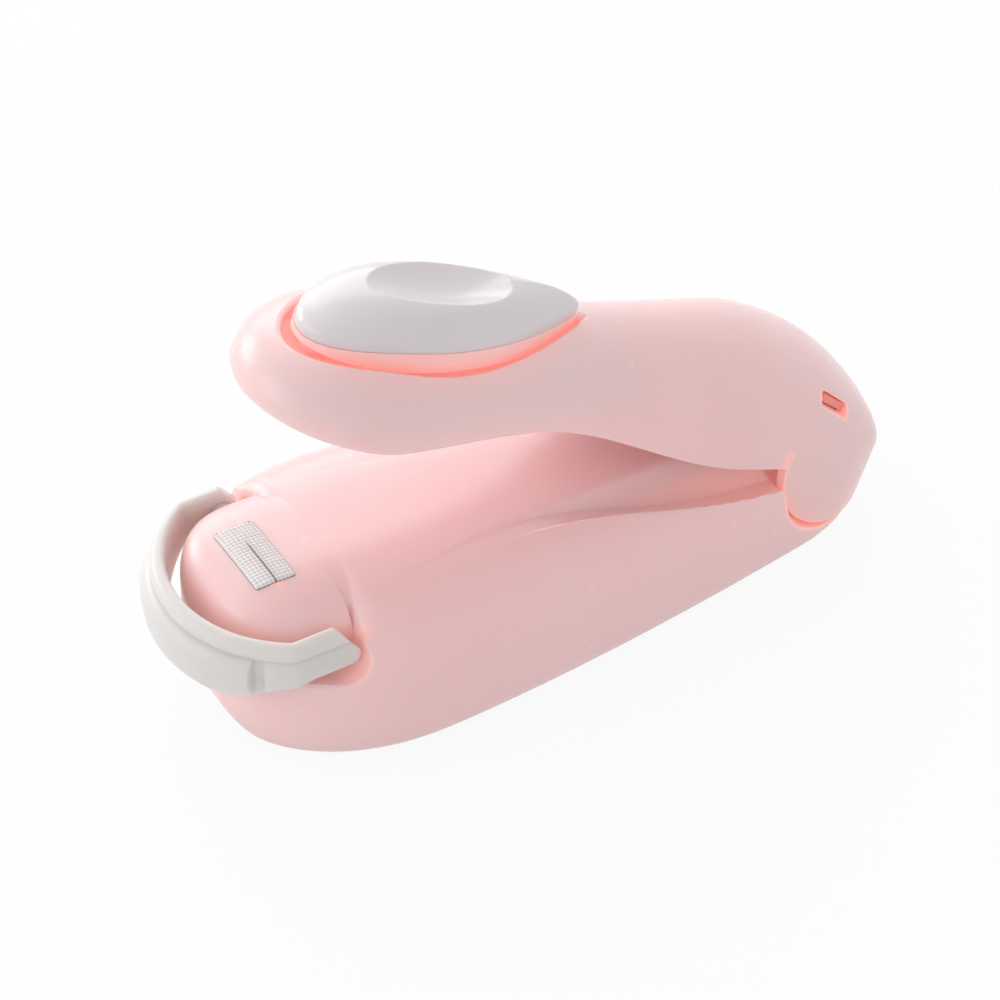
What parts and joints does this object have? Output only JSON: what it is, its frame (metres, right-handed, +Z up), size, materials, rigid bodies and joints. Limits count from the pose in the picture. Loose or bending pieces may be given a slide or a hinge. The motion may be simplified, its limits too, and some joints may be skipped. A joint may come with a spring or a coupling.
{
  "type": "mini bag sealer",
  "caption": "Hand-held battery bag sealer: a sprung arm with a thumb button closes over a taped heater strip, locked by a white bail.",
  "frame": {"origin": "on the table under the middle of the box round the sealer at rest", "axes": "X from the jaws (-X) to the hinge (+X), Y across, Z up"},
  "size_m": [0.1055, 0.043, 0.0594],
  "materials": {
    "pink": "glossy moulded pale pink plastic",
    "white": "satin white moulded plastic",
    "frame": "plain grey moulded plastic",
    "steel": "bright drawn steel",
    "brass": "plated brass strip",
    "cell": "plain sleeved steel can",
    "heatproof": "moulded heat-proof resin",
    "tape": "woven white glass cloth",
    "silicone": "soft off-white silicone",
    "lead": "insulated wire"
  },
  "bodies": {
    "base": {"base_shell": "pink", "inner_frame": "frame", "frame_screws": "steel", "cell_left": "cell", "cell_right": "cell", "front_contact": "brass", "switch_contact": "brass", "bridge_contact": "brass", "front_cell_spring": "steel", "rear_cell_spring": "steel", "heater_lead": "lead", "hinge_pin": "steel", "hinge_spring": "steel", "carriage_springs": "steel"},
    "cover": {"battery_cover": "pink"},
    "heater": {"heater_carriage": "heatproof", "heater_wire": "steel", "heater_tape": "tape", "heater_terminals": "brass"},
    "bail": {"safety_bail": "white"},
    "arm": {"arm_shell": "pink", "hinge_cradle": "pink", "arm_liner": "pink", "liner_screws": "steel", "button_spring": "steel"},
    "button": {"button_cap": "white", "button_carrier": "pink", "press_foot": "white", "press_pad": "silicone"}
  },
  "joints": [
    {"name": "arm_hinge", "type": "hinge", "parent": "base", "child": "arm", "pos_m": [0.0429, 0, 0.01239], "axis": [0, 1, 0], "range_deg": [-17.5, 0], "stiffness_Nm_per_rad": 0.2, "springref_deg": 17.19, "deforming": ["hinge_spring"]},
    {"name": "button_press", "type": "slide", "parent": "arm", "child": "button", "axis": [-0.3665, 0, -0.9304], "range_m": [0, 0.0015], "stiffness_N_per_m": 800, "springref_m": -0.001, "deforming": ["button_spring"]},
    {"name": "heater_press", "type": "slide", "parent": "base", "child": "heater", "axis": [-0.0698, 0, -0.9976], "range_m": [0, 0.001], "stiffness_N_per_m": 1500, "springref_m": -0.0008, "deforming": ["carriage_springs", "heater_lead"]},
    {"name": "bail_pivot", "type": "hinge", "parent": "base", "child": "bail", "pos_m": [-0.036, 0, 0.0174], "axis": [0, 1, 0], "range_deg": [0, 30]},
    {"name": "cover_release", "type": "slide", "parent": "base", "child": "cover", "axis": [0, 0, -1], "range_m": [0, 0.02]}
  ]
}
